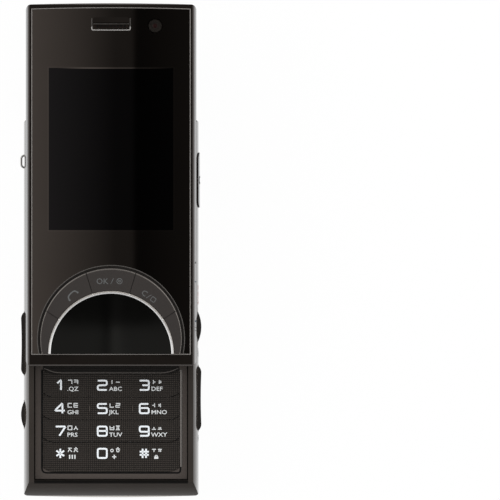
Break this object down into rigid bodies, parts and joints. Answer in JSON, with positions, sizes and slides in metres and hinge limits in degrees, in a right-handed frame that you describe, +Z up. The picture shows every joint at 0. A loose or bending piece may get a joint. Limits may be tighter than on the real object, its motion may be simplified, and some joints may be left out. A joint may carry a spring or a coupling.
{
  "type": "mobile phone",
  "caption": "Slide phone, slid open: a screen half with an arch of keys runs on rails over a keypad half with a silver back.",
  "frame": {"origin": "on the flat rear face, under the middle of the lower half's length and width; the phone lies on its back", "axes": "+Z up, out of the screen; +Y along the phone to its earpiece end; +X to the right of someone who looks at the screen"},
  "size_m": [0.049, 0.1335, 0.0172],
  "materials": {
    "case_dark": "fine matte moulded plastic",
    "bezel_brown": "satin painted plastic",
    "case_silver": "silver painted plastic",
    "key_dark": "dark plastic with a fine grid",
    "rubber_grey": "moulded silicone rubber",
    "rubber_silver": "soft grey rubber",
    "dome_steel": "bright spring steel",
    "board_green": "green lacquered circuit board",
    "can_metal": "tinned sheet",
    "weight_metal": "sintered heavy metal",
    "slide_steel": "pressed stainless sheet",
    "slide_dark": "black coated sheet",
    "loop_metal": "plated wire",
    "aerial_brass": "plated sheet",
    "cell_grey": "shrunk plastic sleeve",
    "part_black": "black plastic",
    "flex_amber": "amber film",
    "panel_black": "dark display",
    "window_glass": "dark tinted window",
    "lens_glass": "clear disc",
    "frame_dark": "satin dark plastic",
    "arch_bronze": "dark metallic lacquer",
    "ring_chrome": "bright plating",
    "pad_black": "glossy black",
    "side_key_dark": "satin plastic"
  },
  "bodies": {
    "base": {"front_case": "case_dark", "keypad_bezel": "bezel_brown", "key_web": "rubber_grey", "key_domes": "dome_steel", "main_board": "board_green", "shield_cans": "can_metal", "rear_case": "case_silver", "battery_cell": "cell_grey", "battery_contacts": "aerial_brass", "rear_camera": "part_black", "rear_camera_window": "lens_glass", "loudspeaker": "part_black", "vibration_motor": "can_metal", "antenna": "aerial_brass", "sim_holder": "can_metal", "microphone": "part_black", "data_connector": "can_metal", "strap_loop": "loop_metal", "bevel_plug": "rubber_silver", "lower_screws": "can_metal", "side_switches": "part_black", "slide_base_plate": "slide_steel", "slide_springs": "slide_steel", "flex_cable": "flex_amber"},
    "slider": {"slider_frame": "frame_dark", "slider_rear_housing": "case_dark", "display_window": "window_glass", "display_panel": "panel_black", "slider_board": "board_green", "earpiece_grille": "part_black", "earpiece": "part_black", "front_camera": "part_black", "arch_trim": "arch_bronze", "half_ring": "ring_chrome", "scroll_pad": "pad_black", "arch_bezel": "frame_dark", "arch_domes": "dome_steel", "slide_moving_plate": "slide_dark"},
    "key_1": {"key_1": "key_dark"},
    "key_2": {"key_2": "key_dark"},
    "key_3": {"key_3": "key_dark"},
    "key_4": {"key_4": "key_dark"},
    "key_5": {"key_5": "key_dark"},
    "key_6": {"key_6": "key_dark"},
    "key_7": {"key_7": "key_dark"},
    "key_8": {"key_8": "key_dark"},
    "key_9": {"key_9": "key_dark"},
    "key_star": {"key_star": "key_dark"},
    "key_0": {"key_0": "key_dark"},
    "key_hash": {"key_hash": "key_dark"},
    "send_key": {"send_key": "arch_bronze"},
    "ok_key": {"ok_key": "arch_bronze"},
    "cancel_key": {"cancel_key": "arch_bronze"},
    "end_key": {"end_key": "side_key_dark"},
    "left_key": {"left_key": "side_key_dark"},
    "camera_rocker": {"camera_rocker": "side_key_dark"},
    "volume_rocker": {"volume_rocker": "side_key_dark"},
    "port_cover": {"port_cover": "rubber_silver"},
    "battery_cover": {"battery_cover": "case_silver"},
    "vibration_weight": {"vibration_weight": "weight_metal"}
  },
  "joints": [
    {"name": "slider_slide", "type": "slide", "parent": "base", "child": "slider", "axis": [0, 1, 0], "range_m": [-0.0312, 0], "deforming": ["slide_springs", "flex_cable"]},
    {"name": "key_1_press", "type": "slide", "parent": "base", "child": "key_1", "axis": [0, 0, -1], "range_m": [0, 0.0003], "stiffness_N_per_m": 800},
    {"name": "key_2_press", "type": "slide", "parent": "base", "child": "key_2", "axis": [0, 0, -1], "range_m": [0, 0.0003], "stiffness_N_per_m": 800},
    {"name": "key_3_press", "type": "slide", "parent": "base", "child": "key_3", "axis": [0, 0, -1], "range_m": [0, 0.0003], "stiffness_N_per_m": 800},
    {"name": "key_4_press", "type": "slide", "parent": "base", "child": "key_4", "axis": [0, 0, -1], "range_m": [0, 0.0003], "stiffness_N_per_m": 800},
    {"name": "key_5_press", "type": "slide", "parent": "base", "child": "key_5", "axis": [0, 0, -1], "range_m": [0, 0.0003], "stiffness_N_per_m": 800},
    {"name": "key_6_press", "type": "slide", "parent": "base", "child": "key_6", "axis": [0, 0, -1], "range_m": [0, 0.0003], "stiffness_N_per_m": 800},
    {"name": "key_7_press", "type": "slide", "parent": "base", "child": "key_7", "axis": [0, 0, -1], "range_m": [0, 0.0003], "stiffness_N_per_m": 800},
    {"name": "key_8_press", "type": "slide", "parent": "base", "child": "key_8", "axis": [0, 0, -1], "range_m": [0, 0.0003], "stiffness_N_per_m": 800},
    {"name": "key_9_press", "type": "slide", "parent": "base", "child": "key_9", "axis": [0, 0, -1], "range_m": [0, 0.0003], "stiffness_N_per_m": 800},
    {"name": "key_star_press", "type": "slide", "parent": "base", "child": "key_star", "axis": [0, 0, -1], "range_m": [0, 0.0003], "stiffness_N_per_m": 800},
    {"name": "key_0_press", "type": "slide", "parent": "base", "child": "key_0", "axis": [0, 0, -1], "range_m": [0, 0.0003], "stiffness_N_per_m": 800},
    {"name": "key_hash_press", "type": "slide", "parent": "base", "child": "key_hash", "axis": [0, 0, -1], "range_m": [0, 0.0003], "stiffness_N_per_m": 800},
    {"name": "send_key_press", "type": "slide", "parent": "slider", "child": "send_key", "axis": [0, 0, -1], "range_m": [0, 0.00025], "stiffness_N_per_m": 800},
    {"name": "ok_key_press", "type": "slide", "parent": "slider", "child": "ok_key", "axis": [0, 0, -1], "range_m": [0, 0.00025], "stiffness_N_per_m": 800},
    {"name": "cancel_key_press", "type": "slide", "parent": "slider", "child": "cancel_key", "axis": [0, 0, -1], "range_m": [0, 0.00025], "stiffness_N_per_m": 800},
    {"name": "end_key_press", "type": "slide", "parent": "base", "child": "end_key", "axis": [-1, 0, 0], "range_m": [0, 0.0004], "stiffness_N_per_m": 800},
    {"name": "left_key_press", "type": "slide", "parent": "base", "child": "left_key", "axis": [1, 0, 0], "range_m": [0, 0.0004], "stiffness_N_per_m": 800},
    {"name": "camera_rocker_tip", "type": "hinge", "parent": "base", "child": "camera_rocker", "pos_m": [0.0212, -0.0244, 0.00615], "axis": [0, 0, 1], "range_deg": [-2.2, 2.2], "stiffness_Nm_per_rad": 0.03},
    {"name": "volume_rocker_tip", "type": "hinge", "parent": "base", "child": "volume_rocker", "pos_m": [-0.0212, -0.0096, 0.00615], "axis": [0, 0, 1], "range_deg": [-2.2, 2.2], "stiffness_Nm_per_rad": 0.03},
    {"name": "port_cover_swing", "type": "hinge", "parent": "base", "child": "port_cover", "pos_m": [0.024, 0.02705, 0.00578], "axis": [0, 0, -1], "range_deg": [0, 105]},
    {"name": "battery_cover_slide", "type": "slide", "parent": "base", "child": "battery_cover", "axis": [0, -1, 0], "range_m": [0, 0.012]},
    {"name": "vibration_weight_spin", "type": "hinge", "parent": "base", "child": "vibration_weight", "pos_m": [-0.01695, 0.0421, 0.00319], "axis": [0, 1, 0], "continuous": true}
  ]
}
